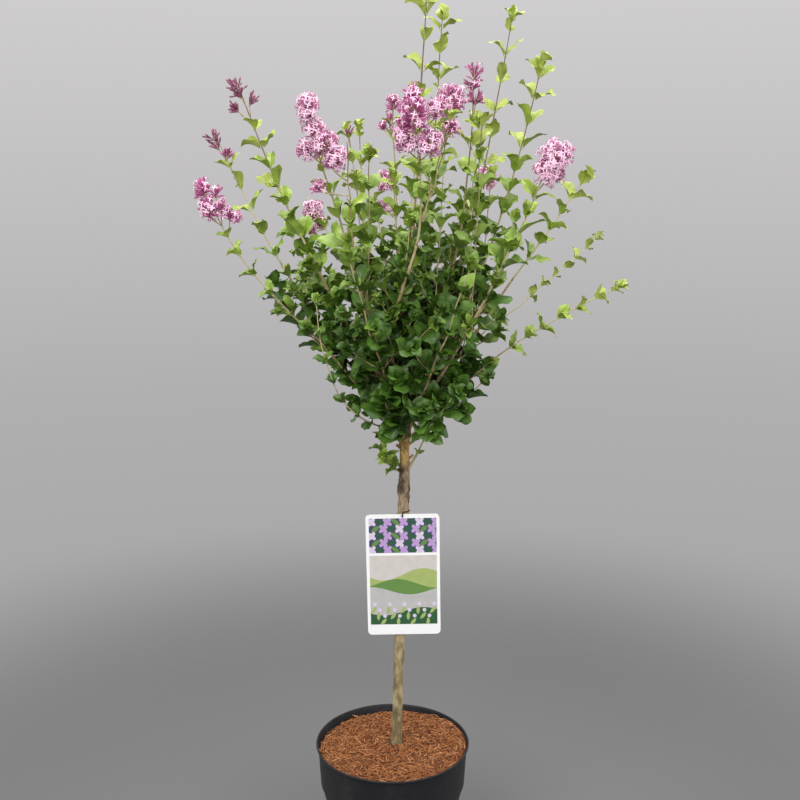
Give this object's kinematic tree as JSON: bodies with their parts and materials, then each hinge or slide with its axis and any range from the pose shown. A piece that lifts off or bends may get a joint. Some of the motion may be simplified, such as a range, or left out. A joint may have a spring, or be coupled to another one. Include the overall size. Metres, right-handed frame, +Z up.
{
  "type": "potted lilac bush",
  "caption": "Small-leaved lilac grown as a standard: a loose rounded head of leafy whips with pink-purple flower spikes on a clear stem, in a black nursery pot, with a blank hang label.",
  "frame": {"origin": "centre of the pot's flat underside", "axes": "+Z up along the stem; -Y towards the front, where the label hangs; +X to the viewer's right of it"},
  "size_m": [0.5675, 0.4197, 1.3051],
  "materials": {
    "pot": "satin, faintly scuffed",
    "mulch": "loose red-brown wood fibre",
    "bark": "olive-tan bark, darker and rough at the head",
    "foliage": "satin leaves",
    "label": "smooth card-thin plastic",
    "tie": "satin"
  },
  "bodies": {
    "root": {"pot": "pot", "root_ball": "mulch", "trunk": "bark", "bough_left_low": "bark", "bough_left_mid": "bark", "bough_left_high": "bark", "bough_front_left": "bark", "bough_back_left": "bark", "bough_back": "bark", "bough_front": "bark", "bough_leader": "bark", "bough_back_right": "bark", "bough_right_inner": "bark", "bough_right_back": "bark", "bough_right_tall": "bark", "bough_right_front": "bark", "bough_right": "bark", "bough_right_low": "bark", "bough_front_low_left": "bark", "bough_front_low_right": "bark", "bough_back_low_left": "bark", "bough_back_low_right": "bark", "bough_back_low": "bark", "foliage_left_low": "foliage", "foliage_left_mid": "foliage", "foliage_left_high": "foliage", "foliage_front_left": "foliage", "foliage_back_left": "foliage", "foliage_back": "foliage", "foliage_front": "foliage", "foliage_leader": "foliage", "foliage_back_right": "foliage", "foliage_right_inner": "foliage", "foliage_right_back": "foliage", "foliage_right_tall": "foliage", "foliage_right_front": "foliage", "foliage_right": "foliage", "foliage_right_low": "foliage", "foliage_front_low_left": "foliage", "foliage_front_low_right": "foliage", "foliage_back_low_left": "foliage", "foliage_back_low_right": "foliage", "foliage_back_low": "foliage", "foliage_skirt_left": "foliage", "foliage_skirt_front_left": "foliage", "foliage_skirt_front_right": "foliage", "foliage_skirt_right": "foliage", "foliage_skirt_back_right": "foliage", "foliage_skirt_back_left": "foliage", "foliage_whip_left": "foliage", "foliage_sprout_left": "foliage", "foliage_sprout_right": "foliage", "label": "label", "tie": "tie"}
  },
  "joints": []
}
